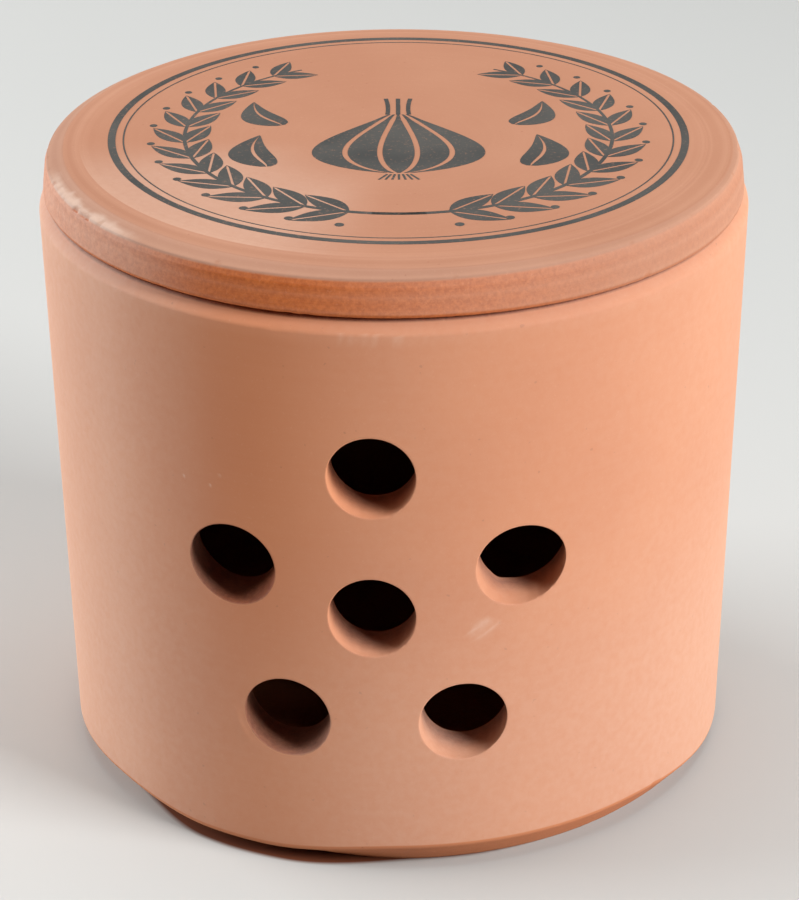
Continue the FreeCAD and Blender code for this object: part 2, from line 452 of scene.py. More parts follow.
def hole_edges(number, turn, ring):
    """How far the edge of a hole is rounded at each turn, outside and inside the wall."""
    outer = HOLE_EDGE * (1 + EDGE_UNEVENNESS * clay_noise(ring, EDGE_BUMP, seed=40 + number))
    outer = outer + nicks(turn, NICKED_HOLES[number], seed=60 + number)
    inner = HOLE_EDGE * (1 + INNER_EDGE_UNEVENNESS * clay_noise(ring, INNER_EDGE_BUMP, seed=50 + number))
    if number == BITTEN_HOLE:
        inner = inner + BITE_DEPTH * hump(turn, BITE_TURN, BITE_WIDTH)
    return outer, inner


def bore(front, back, turn, drag):
    """Loops from a hole's outer edge to its inner one, with the marks that the punch dragged."""
    loops = []
    for step in range(1, BORE_STEPS):
        share = step / BORE_STEPS
        middle = front * (1 - share) + back * share
        middle[:, 0] += drag * np.cos(turn) * math.sin(math.pi * share)
        middle[:, 2] += drag * np.sin(turn) * math.sin(math.pi * share)
        loops.append(middle)
    return loops


def hole_torn_and_shade(number, count):
    """How torn the clay is on each loop of a hole, which also paints shade deeper in the bore: not outside,
    and at its inner end as in the cavity.
    """
    rim = len(HOLE_OUTER_LOOPS)
    torn_and_shaded = TORN_AND_SHADED_FROM[number]
    raw = np.zeros((count, 1))
    raw[rim + 1:, 0] = smooth(torn_and_shaded, torn_and_shaded + TORN_AND_SHADED_FADE, np.arange(count - rim - 1))
    raw[rim + HOLE_RIM_STEPS + BORE_STEPS - 1:] = CAVITY_RAW
    return raw


def add_hole(clay, number, centre):
    """One punched hole. Gives the numbers of its widest loop outside and inside."""
    turn = np.arange(HOLE_SEGMENTS) * math.tau / HOLE_SEGMENTS - math.pi
    ring = np.stack([np.cos(turn), np.sin(turn), 0 * turn], axis=-1) * NOISE_CIRCLE
    edge, inner_edge = hole_edges(number, turn, ring)
    wide, inner_wide = HOLE_RADIUS + edge, HOLE_RADIUS + inner_edge
    loops = [on_wall(wall_radius, centre, turn, wide + reach) for reach in HOLE_OUTER_LOOPS]
    if number == LIPPED_HOLE:
        for loop, height in zip(loops[1:3], LIP_HEIGHTS):
            loop[:, 1] -= height * hump(turn, LIP_TURN, LIP_WIDTH)
    into = np.array([0, 1, 0])
    sharp = on_wall(wall_radius, centre, turn, HOLE_RADIUS)
    inner_sharp = on_wall(cavity_radius, centre, turn, HOLE_RADIUS)
    front = sharp + edge[:, None] * into
    back = inner_sharp - inner_edge[:, None] * into
    drag = DRAG_DEPTH * clay_noise(ring * DRAG_CLOSENESS + [0, 0, number], DRAG_BUMP, seed=80 + number)
    loops += hole_rim(sharp, on_wall(wall_radius, centre, turn, wide), front)
    loops += bore(front, back, turn, drag)
    loops += hole_rim(inner_sharp, back, on_wall(cavity_radius, centre, turn, inner_wide))
    loops += [on_wall(cavity_radius, centre, turn, inner_wide + reach) for reach in HOLE_INNER_LOOPS]
    loops = np.array(loops)
    # Painted light on the hole's loops, as on the wall.
    worn = painted_wall_light(np.arctan2(loops[..., 0], -loops[..., 1]), loops[..., 2])
    numbers = clay.add(loops, worn, hole_torn_and_shade(number, len(loops)))
    for outer, inner in zip(numbers, numbers[1:]):
        clay.band(outer, inner)
    return numbers[0], numbers[-1]


def window_loop(numbers, low, high, left, right):
    """The window's edge, anticlockwise as seen from the front."""
    bottom, top = numbers[low, left:right], numbers[high, right:left:-1]
    up, down = numbers[low:high, right], numbers[high:low:-1, left]
    return np.concatenate([bottom, up, top, down])


# A scuff is (degrees round, height, half length, half width, degrees it rises to the right, strength).
SCUFFS = (
    (17.5, 0.0497, 0.0042, 0.0026, 40, 0.07),
    (15.9, 0.0492, 0.0026, 0.0004, 28, 0.12),
    (17.2, 0.0505, 0.0034, 0.0005, 35, 0.14),
    (18.7, 0.0512, 0.0026, 0.0004, 41, 0.11),
    (17.3, 0.0480, 0.0029, 0.0004, 31, 0.11),
    (19.1, 0.0494, 0.0024, 0.0004, 37, 0.12),
    (-31.8, 0.0752, 0.0004, 0.0003, 0, 0.50),
    (-26.8, 0.0748, 0.0004, 0.0003, 0, 0.50),
    (-25.0, 0.0772, 0.0003, 0.0003, 0, 0.45),
)
SCUFF_MARGIN = 0.00022
SCUFF_STEP = 1.5 * SCUFF_MARGIN
SCUFF_NONE, SCUFF_FULL = 1.1, 0.2

# Where light is painted on the wall, in degrees for `facing`, and by how much: painted sheen on both sides,
# painted floor light towards the foot, and painted shade left at the front left.
PALE_LEFT, LEFT_PALENESS = (-90, 40, 74), 0.22
PALE_FRONT_LEFT, FRONT_LEFT_SHARE = (-41, 7, 17), 0.3
PALE_RIGHT, RIGHT_PALENESS = (95, 25, 80), 0.07
DEEP_FRONT, PALENESS_BESIDE_FRONT = (-28, 5, 34), 0.14
PALE_FOOT_FROM, PALE_FOOT_FULL, FOOT_PALENESS = 0.075, 0.020, 0.13
FOOT_LESS_AT_LEFT = 0.6


def painted_wall_light(angle, height):
    """Painted light: the wall is painted paler towards its foot as floor light and on both sides as sheen,
    with painted shade left at the front left.
    """
    left = facing(angle, *PALE_LEFT) + FRONT_LEFT_SHARE * facing(angle, *PALE_FRONT_LEFT)
    foot = smooth(PALE_FOOT_FROM, PALE_FOOT_FULL, height) * (1 - FOOT_LESS_AT_LEFT * left)
    pale = FOOT_PALENESS * foot + PALENESS_BESIDE_FRONT * (1 - facing(angle, *DEEP_FRONT))
    return pale + LEFT_PALENESS * left + RIGHT_PALENESS * facing(angle, *PALE_RIGHT)


def scuff_share(spots, number):
    """How rubbed the wall is by one scuff at spots of (distance round the wall, height)."""
    azimuth, height, length, width, rise, strength = SCUFFS[number]
    slope = math.radians(rise)
    right, up = (spots - (math.radians(azimuth) * FOOT_RADIUS, height)).T
    along = right * math.cos(slope) + up * math.sin(slope)
    across = up * math.cos(slope) - right * math.sin(slope)
    return strength * smooth(SCUFF_NONE, SCUFF_FULL, np.hypot(along / length, across / width))


def scuff_spots(number):
    """A close grid of spots that covers one scuff."""
    azimuth, height, length, width, rise = SCUFFS[number][:-1]
    steps = [np.arange(-r - SCUFF_MARGIN, r + 2 * SCUFF_MARGIN, SCUFF_STEP) for r in (length, width)]
    along, across = np.meshgrid(*steps)
    spots = np.stack([along.ravel(), across.ravel()], axis=1)
    return turned_flat(spots, math.radians(rise)) + (math.radians(azimuth) * FOOT_RADIUS, height)


# Spacings in the grid that fills a window, as shares of its own spacing.
GRID_ROW_STEP = 0.866
GRID_CLEAR_OF_EDGES = 0.6
GRID_CLEAR_OF_SCUFFS = 0.4

# Spots nearer than this are taken as one.
SAME_SPOT = 1e-9


def flattened(points):
    """(distance round the wall, height) of points that lie in it."""
    return np.stack([np.arctan2(points[:, 0], -points[:, 1]) * FOOT_RADIUS, points[:, 2]], axis=-1)


def window_grid(edge, spacing, inside):
    """An even grid of spots within a window's flattened edge. Outside, it is closer at each scuff."""
    margin = spacing * GRID_CLEAR_OF_EDGES
    low, high = edge.min(0) + margin, edge.max(0) - margin
    rows = np.arange(low[1], high[1], spacing * GRID_ROW_STEP)
    columns = np.arange(low[0], high[0], spacing)
    grid = [(x + (k % 2) * spacing / 2, z) for k, z in enumerate(rows) for x in columns]
    grid = np.array([spot for spot in grid if spot[0] < high[0]])
    for number in range(0 if inside else len(SCUFFS)):
        near = scuff_spots(number)
        away = np.linalg.norm(grid[:, None] - near[None], axis=-1).min(1)
        grid = np.concatenate([grid[away > spacing * GRID_CLEAR_OF_SCUFFS], near])
    return grid


def triangles_between(loops, grid):
    """Triangles between all the flattened spots, as their corners' numbers and places. Loops stay whole."""
    lines, start = [], 0
    for loop in loops:
        lines += [(start + k, start + (k + 1) % len(loop)) for k in range(len(loop))]
        start += len(loop)
    spots = [Vector(spot) for spot in np.concatenate([*loops, grid])]
    places, _, triangles, merged = geometry.delaunay_2d_cdt(spots, lines, [], 0, SAME_SPOT)[:4]
    places = np.array([tuple(place) for place in places])
    return [([merged[k][0] for k in triangle], places[list(triangle)]) for triangle in triangles]


def fill_window(clay, edge, holes, radius_at, spacing, inside):
    """Triangles between a window's edge and the widest loop of each hole, all lying in the wall."""
    points = np.concatenate(clay.points)
    loops = [flattened(points[loop]) for loop in (edge, *holes)]
    grid = window_grid(loops[0], spacing, inside)
    across = radius_at(grid[:, 1]) * np.sin(grid[:, 0] / FOOT_RADIUS)
    sizes = [np.hypot(*(points[loop][0, [0, 2]] - centre)) for loop, centre in zip(holes, hole_centres())]
    rounds = list(zip(hole_centres(), sizes))
    clear = np.ones(len(grid), bool)
    for centre, size in rounds:
        away = np.hypot(across - centre[0], grid[:, 1] - centre[1])
        clear &= away > size + spacing * GRID_CLEAR_OF_EDGES
    grid, across = grid[clear], across[clear]
    depth = np.sqrt(radius_at(grid[:, 1]) ** 2 - across ** 2)
    worn, raw = 0.0, CAVITY_RAW
    if not inside:
        rubbed = sum(scuff_share(grid, k) for k in range(len(SCUFFS)))
        # Painted light as on the wall, with the real rubbing of the scuffs.
        worn, raw = painted_wall_light(grid[:, 0] / FOOT_RADIUS, grid[:, 1]) + rubbed, 0.0
    added = clay.add(np.stack([across, -depth, grid[:, 1]], axis=-1), worn, raw)

    owners = np.concatenate([edge, *holes, added])
    for numbers, (a, b, c) in triangles_between(loops, grid):
        middle = (a + b + c) / 3
        x = radius_at(middle[1]) * math.sin(middle[0] / FOOT_RADIUS)
        if any(math.hypot(x - h[0], middle[1] - h[1]) < size for h, size in rounds):
            continue
        corners = [int(owners[k]) for k in numbers]
        anticlockwise = (b[0] - a[0]) * (c[1] - a[1]) - (b[1] - a[1]) * (c[0] - a[0]) > 0
        if anticlockwise == inside:
            corners.reverse()
        clay.faces.append(corners)


def window(outline, runs, run, half_angle, low, high):
    """Rows and columns of the turned grid that a window through the front of the wall takes."""
    rows = [k for k in range(len(outline)) if runs[k] == run and low < outline[k, 1] < high]
    column = round((math.pi - half_angle) / math.tau * POT_SEGMENTS)
    return rows[0], rows[-1], column, POT_SEGMENTS - column


# A cut is (metres the foot spreads, metres the bevel loses in height, and where it is for `facing`).
FOOT_CUTS = (
    (0.0012, 0.0026, 95, 12, 50),
    (0.0005, 0.0011, -95, 12, 42),
    (-0.0020, 0.0, -36, 8, 46),
    (0.0, 0.0017, -25, 5, 29),
)

# Heights on the wall between which a cut at the foot fades out.
CUT_FROM, CUT_FULL = 0.012, 0.007


def foot_drift(outline, runs, count, angles):
    """The bevel round the foot is cut by hand: full at the front right, and undercut at the front left."""
    drift = np.zeros((len(runs), len(angles), 2))
    for spread, loss, *where in FOOT_CUTS:
        moves = np.zeros((count, 2))
        moves[UNDERSIDE_RUN] = spread, 0
        moves[FOOT_BEVEL_RUN] = 0, -loss
        drift += row_drift(runs, moves)[:, None, :] * facing(angles, *where)[None, :, None]
    wall = runs == WALL_RUN
    drift[wall] *= smooth(CUT_FROM, CUT_FULL, outline[wall, 1])[:, None, None]
    drift[..., 0] += drift[..., 1] * WALL_SLOPE
    return drift


# Chips are (angles, heights from the edge, how many, half widths, depths, seed).
RIM_CHIPS = (ALL_ROUND, (-0.0003, 0.0005), 20, (0.0004, 0.0009), (0.00006, 0.00018), 11)
FOOT_CHIPS = (ALL_ROUND, (-0.0003, 0.0003), 9, (0.0004, 0.0009), (0.00005, 0.0002), 12)

# A window is (half angle, lowest height, highest height).
OUTER_WINDOW, OUTER_GRID = (math.radians(40), 0.017, 0.093), 0.0016
INNER_WINDOW, INNER_GRID = (math.radians(48), 0.016, 0.094), 0.0035

RIM_RUBBED = 0.03
STREAK_RUBBED = 0.13
STREAK_AT = (0, 3, 12)
STREAK_GRAIN = 0.0007
STREAK_NONE, STREAK_FULL = -0.2, 0.6
# Torn clay on runs of the pot; on the rim's outer corner and its top it is painted shade in the gap under
# the lid.
TORN_AND_SHADED_RUNS = (
    (UNDERSIDE_RUN, 0.6),
    (FOOT_BEVEL_RUN, 0.35),
    (-RIM_BEVEL_RUN, 1.0),
    (RIM_TOP_RUN, 0.75),
    (MOUTH_RUN, 0.6),
)
WOBBLE = 0.0006
WOBBLE_WIDTH = 0.045


def pot_wear_and_painted_light(angles, outline, runs, lengths):
    """How pale the pot is: by painted light on its wall, and by rubbing on its rim, with a streak in front.
    """
    rim_edge = np.isin(runs, (-WALL_RUN, RIM_BEVEL_RUN))[:, None]
    ragged = clay_noise(around(RIM_RADIUS, angles[None, :], lengths[:, None]), STREAK_GRAIN, seed=14)
    streak = (runs == -WALL_RUN)[:, None] * facing(angles, *STREAK_AT)[None, :]
    streak = streak * smooth(STREAK_NONE, STREAK_FULL, ragged)
    wall = ((np.abs(runs) <= RIM_BEVEL_RUN) & (np.abs(runs) > FOOT_BEVEL_RUN))[:, None]
    return RIM_RUBBED * rim_edge + STREAK_RUBBED * streak + wall * painted_wall_light(angles[None, :], outline[:, 1:])


def pot_torn_and_shade(runs):
    """How torn the clay is on each row: in the cavity, where the tool has cut the foot and the rim, and
    round the rim's outer corner and top as painted shade in the gap under the lid.
    """
    cavity = (runs >= CAVITY_RUN) | (runs == -CAVITY_RUN)
    raw = CAVITY_RAW * cavity + sum(share * (runs == run) for run, share in TORN_AND_SHADED_RUNS)
    return raw[:, None]


def build_pot(material):
    """The pot: one turned clay body with its air holes."""
    clay = Clay()
    corners = pot_corners()
    outline, runs = rounded_outline(corners)
    lengths = outline_lengths(outline)
    angles = seam_angles(POT_SEGMENTS)
    drift = foot_drift(outline, runs, len(corners), angles)
    spots = np.concatenate([
        chips(lengths[runs == -WALL_RUN].mean(), *RIM_CHIPS),
        chips(lengths[runs == -FOOT_BEVEL_RUN].mean(), *FOOT_CHIPS),
    ])
    loss = chipped(angles, lengths, RIM_RADIUS, spots, seed=13)
    worn = pot_wear_and_painted_light(angles, outline, runs, lengths)
    outer = window(outline, runs, WALL_RUN, *OUTER_WINDOW)
    inner = window(outline, runs, CAVITY_RUN, *INNER_WINDOW)
    numbers = turned(clay, outline, POT_SEGMENTS, drift, loss, worn, pot_torn_and_shade(runs), (outer, inner))
    ends = [add_hole(clay, k, centre) for k, centre in enumerate(hole_centres())]
    outer_ends, inner_ends = zip(*ends)
    fill_window(clay, window_loop(numbers, *outer), outer_ends, wall_radius, OUTER_GRID, inside=False)
    low, high, left, right = inner
    last = len(outline) - 1
    inner_edge = window_loop(numbers[::-1], last - high, last - low, left, right)
    fill_window(clay, inner_edge, inner_ends, cavity_radius, INNER_GRID, inside=True)
    for points in clay.points:
        bumps = clay_noise(points, WOBBLE_WIDTH, seed=21)
        points[:, :2] *= 1 - WOBBLE * (0.5 + 0.5 * bumps)[:, None]
    return clay.finished("pot_clay", material)


# ---------------------------------------------------------------- lid

# Runs of the lid's half section, numbered as the pot's are.
LID_SEAT_RUN, LID_SIDE_RUN, LID_COLLAR_RUN, LID_BEVEL_RUN, LID_TOP_RUN = 5, 6, 7, 8, 10


def lid_corners():
    """Half section from the middle of the underside, round the locating ring and over the top."""
    side = LID_RADIUS - LID_SIDE_DRAFT
    collar = side - LID_COLLAR_DRAFT
    bevel = collar - LID_BEVEL_WIDTH
    inside = RING_OUTSIDE - RING_WIDTH
    ring_foot = LID_SEAT - RING_DEPTH
    collar_top = LID_SEAT + LID_SIDE_HEIGHT + LID_COLLAR_HEIGHT
    flat = LID_SEAT + LID_THICKNESS - PRINT_ROOM
    return [
        (POLE, LID_SEAT, 0, 0),
        (inside, LID_SEAT, RING_EDGE, 0.006),
        (inside + RING_DRAFT, ring_foot, RING_EDGE, 0.0015),
        (RING_OUTSIDE - RING_DRAFT, ring_foot, RING_EDGE, 0.0015),
        (RING_OUTSIDE, LID_SEAT, RING_EDGE, 0.0015),
        (LID_RADIUS, LID_SEAT, LID_LOWER_EDGE, 0.002),
        (side, LID_SEAT + LID_SIDE_HEIGHT, 2 * LID_EDGE, 0.0005),
        (collar, collar_top, LID_EDGE, 0.0005),
        (bevel, flat - LID_SHOULDER_HEIGHT, LID_EDGE, 0.0004),
        (bevel - LID_SHOULDER_WIDTH, flat, LID_EDGE, 0.0008),
        (POLE, flat, 0, 0.005),
    ]


COLLAR_SWAY = (0.0002, -0.00055)
BEVEL_SWAY = (-0.0007, 0.0)
WIDE_BEVEL_AT = math.radians(-75)


def tipped(points):
    """The lid as it lies on the uneven rim: touching it on the right, and lifted a little on the left."""
    turn = LID_LIFT / (2 * LID_RADIUS)
    moved = np.array(points, float)
    moved[:, 0] += (points[:, 2] - LID_SEAT) * turn
    moved[:, 2] += (LID_RADIUS - points[:, 0]) * turn
    return moved


AT_LEFT = (math.radians(-78), math.radians(-46))
LEFT_SHOULDER_CHIPS = (AT_LEFT, (-0.0003, 0.0002), 14, (0.0003, 0.0007), (0.0001, 0.0003), 31)
SHOULDER_CHIPS = (ALL_ROUND, (-0.0002, 0.0002), 16, (0.0003, 0.0006), (0.00004, 0.0001), 32)
SEAT_CHIPS = (ALL_ROUND, (-0.0004, 0.0006), 26, (0.0004, 0.0010), (0.00005, 0.00015), 33)
CHIP_DARKENING = 1500

# Where the lid is paler, in degrees for `facing`, and by how much.
BEVEL_PALENESS = 0.07
RUBBED_AT, RUBBED_PALENESS = (-58, 9, 19), 0.05
LOW_EDGE_PALENESS = 0.42
LOW_EDGE_NONE, LOW_EDGE_FULL = 0.0013, 0.0006
LOW_EDGE_GRAIN, LOW_EDGE_RAGGEDNESS = 0.0016, 0.0004
PALE_TOP_AT, TOP_PALENESS = (-42, 18, 45), 0.18
PALE_TOP_FROM, PALE_TOP_FULL = 0.012, 0.036
SPONGED_AT = (75, 25, 70)
SPONGED_SMOOTHER, SPONGED_DEEPER = 0.65, 0.2
# Painted light on the lid's side: painted sheen beside the front left and at the left, with painted shade
# left at the front left.
DEEP_SIDE_AT, PALENESS_BESIDE_DEEP = (-20, 6, 34), 0.14
PALE_SIDE_AT, PALE_SIDE_PALENESS = (-57, 14, 34), 0.20
SAND_GRAIN, SAND_DEPTH = 0.0009, 0.00004


def lid_wear(angles, outline, runs, lengths):
    """How pale the lid is: on its bevel, most where it is rubbed at the left, and on its top."""
    bevel = np.isin(runs, (LID_BEVEL_RUN, -LID_COLLAR_RUN))[:, None]
    rubbed = facing(angles, *RUBBED_AT)[None, :]
    ragged = clay_noise(around(LID_RADIUS, angles[None, :], lengths[:, None]), LOW_EDGE_GRAIN, seed=36)
    up = lengths[:, None] - lengths[runs == -LID_COLLAR_RUN].mean()
    low_edge = smooth(LOW_EDGE_NONE, LOW_EDGE_FULL, up + LOW_EDGE_RAGGEDNESS * ragged)
    top = (runs == LID_TOP_RUN)[:, None] * smooth(PALE_TOP_FROM, PALE_TOP_FULL, outline[:, :1])
    bevel = bevel * (BEVEL_PALENESS + rubbed * (RUBBED_PALENESS + LOW_EDGE_PALENESS * low_edge))
    return bevel + TOP_PALENESS * top * facing(angles, *PALE_TOP_AT)


def lid_side_painted_light(angles, sponged):
    """Painted light on the lid's side: painted sheen makes it paler all round, most at the left, with
    painted shade left at the front left.
    """
    beside = PALENESS_BESIDE_DEEP * (1 - facing(angles, *DEEP_SIDE_AT))
    return beside * (1 - SPONGED_DEEPER * sponged) + PALE_SIDE_PALENESS * facing(angles, *PALE_SIDE_AT)


def build_lid(material):
    """The lid: one turned clay disc with a locating ring. The bevel round its top is cut off centre."""
    clay = Clay()
    corners = lid_corners()
    outline, runs = rounded_outline(corners)
    lengths = outline_lengths(outline)
    angles = seam_angles(LID_SEGMENTS)
    moves = np.zeros((len(corners), 2))
    moves[LID_COLLAR_RUN] = COLLAR_SWAY
    moves[LID_BEVEL_RUN] = BEVEL_SWAY
    drift = row_drift(runs, moves)[:, None, :] * np.cos(angles - WIDE_BEVEL_AT)[None, :, None]
    shoulder = lengths[runs == -LID_COLLAR_RUN].mean()
    spots = np.concatenate([
        chips(shoulder, *LEFT_SHOULDER_CHIPS),
        chips(shoulder, *SHOULDER_CHIPS),
        chips(lengths[runs == -LID_SEAT_RUN].mean(), *SEAT_CHIPS),
    ])
    loss = chipped(angles, lengths, LID_RADIUS, spots, seed=34)
    side = np.isin(runs, (-LID_SEAT_RUN, LID_SIDE_RUN, -LID_SIDE_RUN, LID_COLLAR_RUN))[:, None]
    sponged = facing(angles, *SPONGED_AT)
    worn = lid_wear(angles, outline, runs, lengths) - CHIP_DARKENING * loss
    # The lid's lower edge, in the gap over the rim, gets none of this painted light and stays as painted
    # shade.
    worn = worn + side * lid_side_painted_light(angles, sponged) * (runs != -LID_SEAT_RUN)[:, None]
    underside = ((runs > 0) & (runs <= LID_SEAT_RUN))[:, None]
    # Torn clay on the side and underside, which on the lower edge in the gap over the rim is also painted
    # shade.
    raw = side * (1 - SPONGED_SMOOTHER * sponged) + underside
    sand = clay_noise(around(LID_RADIUS, angles[None, :], lengths[:, None]), SAND_GRAIN, seed=35)
    loss = loss + side * SAND_DEPTH * (0.5 + 0.5 * sand)
    turned(clay, outline, LID_SEGMENTS, drift, loss, np.clip(worn, 0, 1), raw)
    clay.points = [tipped(points) for points in clay.points]
    return clay.finished("lid_clay", material)


# ---------------------------------------------------------------- print on the lid

INK_BELOW_TOP = 0.00001
INK_DEPTH = 0.00012
INK_TOP = LID_SEAT + LID_THICKNESS - INK_BELOW_TOP
INK_BOTTOM = LID_SEAT + LID_THICKNESS - INK_DEPTH
PRINT_SIDEWAYS = 0.0008
PRINT_BACK = 0.0015
PRINT_TURN = math.radians(3.6)
BROAD_RING_RADIUS = 0.0525
BROAD_RING_WIDTH = 0.0014
FINE_RING_RADIUS = 0.05035
FINE_RING_WIDTH = 0.00028
RING_SEGMENTS = 360


class Ink:
    """Flat printed shapes as thin closed solids, drawn as seen from above, with +v away from the viewer."""

    def __init__(self):
        self.points, self.faces = [], []
        self.top = INK_TOP

    def layer(self, outline):
        """A top and a bottom copy of an outline of (u, v), and the numbers of both."""
        spots = turned_flat(outline, PRINT_TURN) + (PRINT_SIDEWAYS, PRINT_BACK)
        first, count = len(self.points), len(spots)
        for height in (self.top, INK_BOTTOM):
            self.points += [(x, y, height) for x, y in spots]
        return first + np.arange(count), first + count + np.arange(count)

    def blob(self, outline):
        """A filled shape whose middle can be seen from all of its edge. The outline is anticlockwise."""
        top, bottom = self.layer([*outline, np.mean(outline, axis=0)])
        count = len(outline)
        for k in range(count):
            after = (k + 1) % count
            self.faces.append((top[k], top[after], top[count]))
            self.faces.append((bottom[after], bottom[k], bottom[count]))
            self.faces.append((bottom[k], bottom[after], top[after], top[k]))

    def strip(self, left, right, closed=False):
        """The area between two lines that run side by side."""
        left_top, left_bottom = self.layer(left)
        right_top, right_bottom = self.layer(right)
        loops = (right_top, left_top, left_bottom, right_bottom)
        count = len(left) if closed else len(left) - 1
        for k in range(count):
            after = (k + 1) % len(left)
            for first, second in zip(loops, loops[1:] + loops[:1]):
                self.faces.append((first[k], first[after], second[after], second[k]))
        if not closed:
            self.faces.append(tuple(loop[0] for loop in loops))
            self.faces.append(tuple(loop[-1] for loop in reversed(loops)))

    def ribbon(self, line, width, closed=False):
        """A line of (u, v) drawn with a pen whose width may change along it."""
        line = np.asarray(line, float)
        if closed:
            along = np.roll(line, -1, axis=0) - np.roll(line, 1, axis=0)
        else:
            along = np.gradient(line, axis=0)
        along /= np.linalg.norm(along, axis=1)[:, None]
        side = np.stack([-along[:, 1], along[:, 0]], axis=1) * np.broadcast_to(width, len(line))[:, None] / 2
        self.strip(line + side, line - side, closed)

    def finished(self, name, material):
        faces = [tuple(int(k) for k in face) for face in self.faces]
        return placed(name, material, tipped(np.array(self.points)), faces)


def circle(radius, count, centre=(0, 0)):
    turn = np.arange(count) * math.tau / count
    return np.stack([centre[0] + radius * np.cos(turn), centre[1] + radius * np.sin(turn)], axis=1)


def build_rings(material):
    """Two plain rings near the edge of the lid: one broad, one fine."""
    ink = Ink()
    ink.ribbon(circle(BROAD_RING_RADIUS, RING_SEGMENTS), BROAD_RING_WIDTH, closed=True)
    ink.ribbon(circle(FINE_RING_RADIUS, RING_SEGMENTS), FINE_RING_WIDTH, closed=True)
    return ink.finished("lid_print_rings", material)


WREATH_RADIUS = 0.0392
STEM_FROM, STEM_TO = math.radians(-7), math.radians(152)
STEM_STEPS = 60
STEM_FOOT_WIDTH, STEM_TIP_WIDTH = 0.0011, 0.0004
WREATH_LEAVES = 12
FIRST_LEAF = math.radians(13)
LEAF_STEP = math.radians(11.8)
LEAF_LENGTH = 0.0112
LEAF_WIDTH = 0.0048
LEAF_LEAN = math.radians(33)
LEAF_SHRINK = 0.022
LEAF_FROM, LEAF_POINTS = 0.03, 12
LEAF_BELLY, LEAF_ROUNDNESS = 0.85, 0.9
MIDRIB = 0.00045
MIDRIB_SHARE = 0.8
LEAF_SINK = 0.000004
BERRY = 0.00085
BERRY_POINTS = 14
BERRY_OUT = 0.0062
BERRY_AHEAD = 0.02 * LEAF_STEP


def leaf(ink, root, direction, length, width):
    """A pointed leaf in two halves, with its midrib left bare between them."""
    along = np.linspace(LEAF_FROM, 1, LEAF_POINTS)
    half = width / 2 * np.sin(math.pi * along ** LEAF_BELLY) ** LEAF_ROUNDNESS
    rib = np.minimum(MIDRIB / 2, half * MIDRIB_SHARE)
    for side in (-1, 1):
        inner = np.stack([along * length, side * rib], axis=1)
        outer = np.stack([along * length, side * half], axis=1)
        edges = (outer, inner) if side > 0 else (inner, outer)
        ink.strip(*[turned_flat(edge, direction) + root for edge in edges])


def build_wreath(material):
    """A plain wreath of two leafy branches that rise from the bottom, with berries between the leaves."""
    ink = Ink()
    for side in (-1, 1):
        turns = np.linspace(STEM_FROM, STEM_TO, STEM_STEPS)
        stem = np.stack([side * np.sin(turns), -np.cos(turns)], axis=1) * WREATH_RADIUS
        ink.ribbon(stem, np.linspace(STEM_FOOT_WIDTH, STEM_TIP_WIDTH, STEM_STEPS))
        for k in range(WREATH_LEAVES):
            turn = FIRST_LEAF + LEAF_STEP * k
            root = np.array((side * math.sin(turn), -math.cos(turn))) * WREATH_RADIUS
            forward = turn if side > 0 else math.pi - turn
            size = 1 - LEAF_SHRINK * k
            ink.top = INK_TOP - LEAF_SINK
            for lean in (-1, 1):
                leaf(ink, root, forward + lean * LEAF_LEAN, LEAF_LENGTH * size, LEAF_WIDTH * size)
            ink.top = INK_TOP
            out = root * (1 + BERRY_OUT / WREATH_RADIUS)
            ink.blob(circle(BERRY * size, BERRY_POINTS, turned_flat([out], side * BERRY_AHEAD)[0]))
    return ink.finished("lid_print_wreath", material)


BULB_HALF_WIDTH = 0.0165
BULB_HEIGHT = 0.0300
BULB_FOOT = -0.0200
BULB_SEAMS = (-1, -0.60, -0.21, 0.21, 0.60, 1)
BULB_BELLY, BULB_ROUNDNESS = 0.72, 0.8
BULB_SHOULDER, BULB_NECK = 0.45, 0.12
SEAM_POINTS = 30
SEAM_GAP = 0.0010
STALK_LENGTH = 0.0085
STALK_HALF_WIDTH = 0.0020
STALK_TAPER, STALK_FLARE = 0.35, 0.0010
STALK_POINTS = 8
STALK_LINE = 0.0008
ROOTS_EACH_SIDE = 3
ROOT_SPACING, ROOT_END_SPACING = 0.0007, 0.0012
ROOT_FROM, ROOT_TO = 0.0004, 0.0030
ROOT_LINE = 0.0004
SHARP_END = 0.01
CLOVE_LENGTH = 0.0160
CLOVE_HALF_WIDTH = 0.0040
CLOVE_BELLY, CLOVE_ROUNDNESS = 0.62, 0.85
CLOVE_BEND = 0.0026
CLOVE_POINTS = 20
CLOVE_HALVES = ((-1.0, -0.30), (-0.12, 1.0))

# A loose clove is (sideways, up, lean, size).
CLOVES = ((0.0238, -0.0165, -0.10, 1.0), (0.0215, 0.0045, -0.42, 0.85))


def bulb_seam(share):
    """One seam of the bulb from root to neck, at a share of the half width."""
    t = np.linspace(SHARP_END, 1, SEAM_POINTS)
    belly = np.sin(math.pi * t ** BULB_BELLY) ** BULB_ROUNDNESS
    swell = belly * (1 - BULB_SHOULDER * t ** 2) + BULB_NECK * t
    return np.stack([share * BULB_HALF_WIDTH * swell, BULB_FOOT + BULB_HEIGHT * t], axis=1)


def clove(ink, foot, lean, side, size):
    """A single clove, fullest below its middle and bent towards the bulb, with one bare line down it."""
    t = np.linspace(SHARP_END, 1, CLOVE_POINTS)
    half = CLOVE_HALF_WIDTH * np.sin(math.pi * t ** CLOVE_BELLY) ** CLOVE_ROUNDNESS
    middle = side * CLOVE_BEND * np.sin(math.pi * t)
    for shares in CLOVE_HALVES:
        edges = [np.stack([middle + share * side * half, CLOVE_LENGTH * t], axis=1) for share in shares]
        edges = [turned_flat(edge * size, side * lean) + foot for edge in edges]
        ink.strip(*(edges if side > 0 else reversed(edges)))


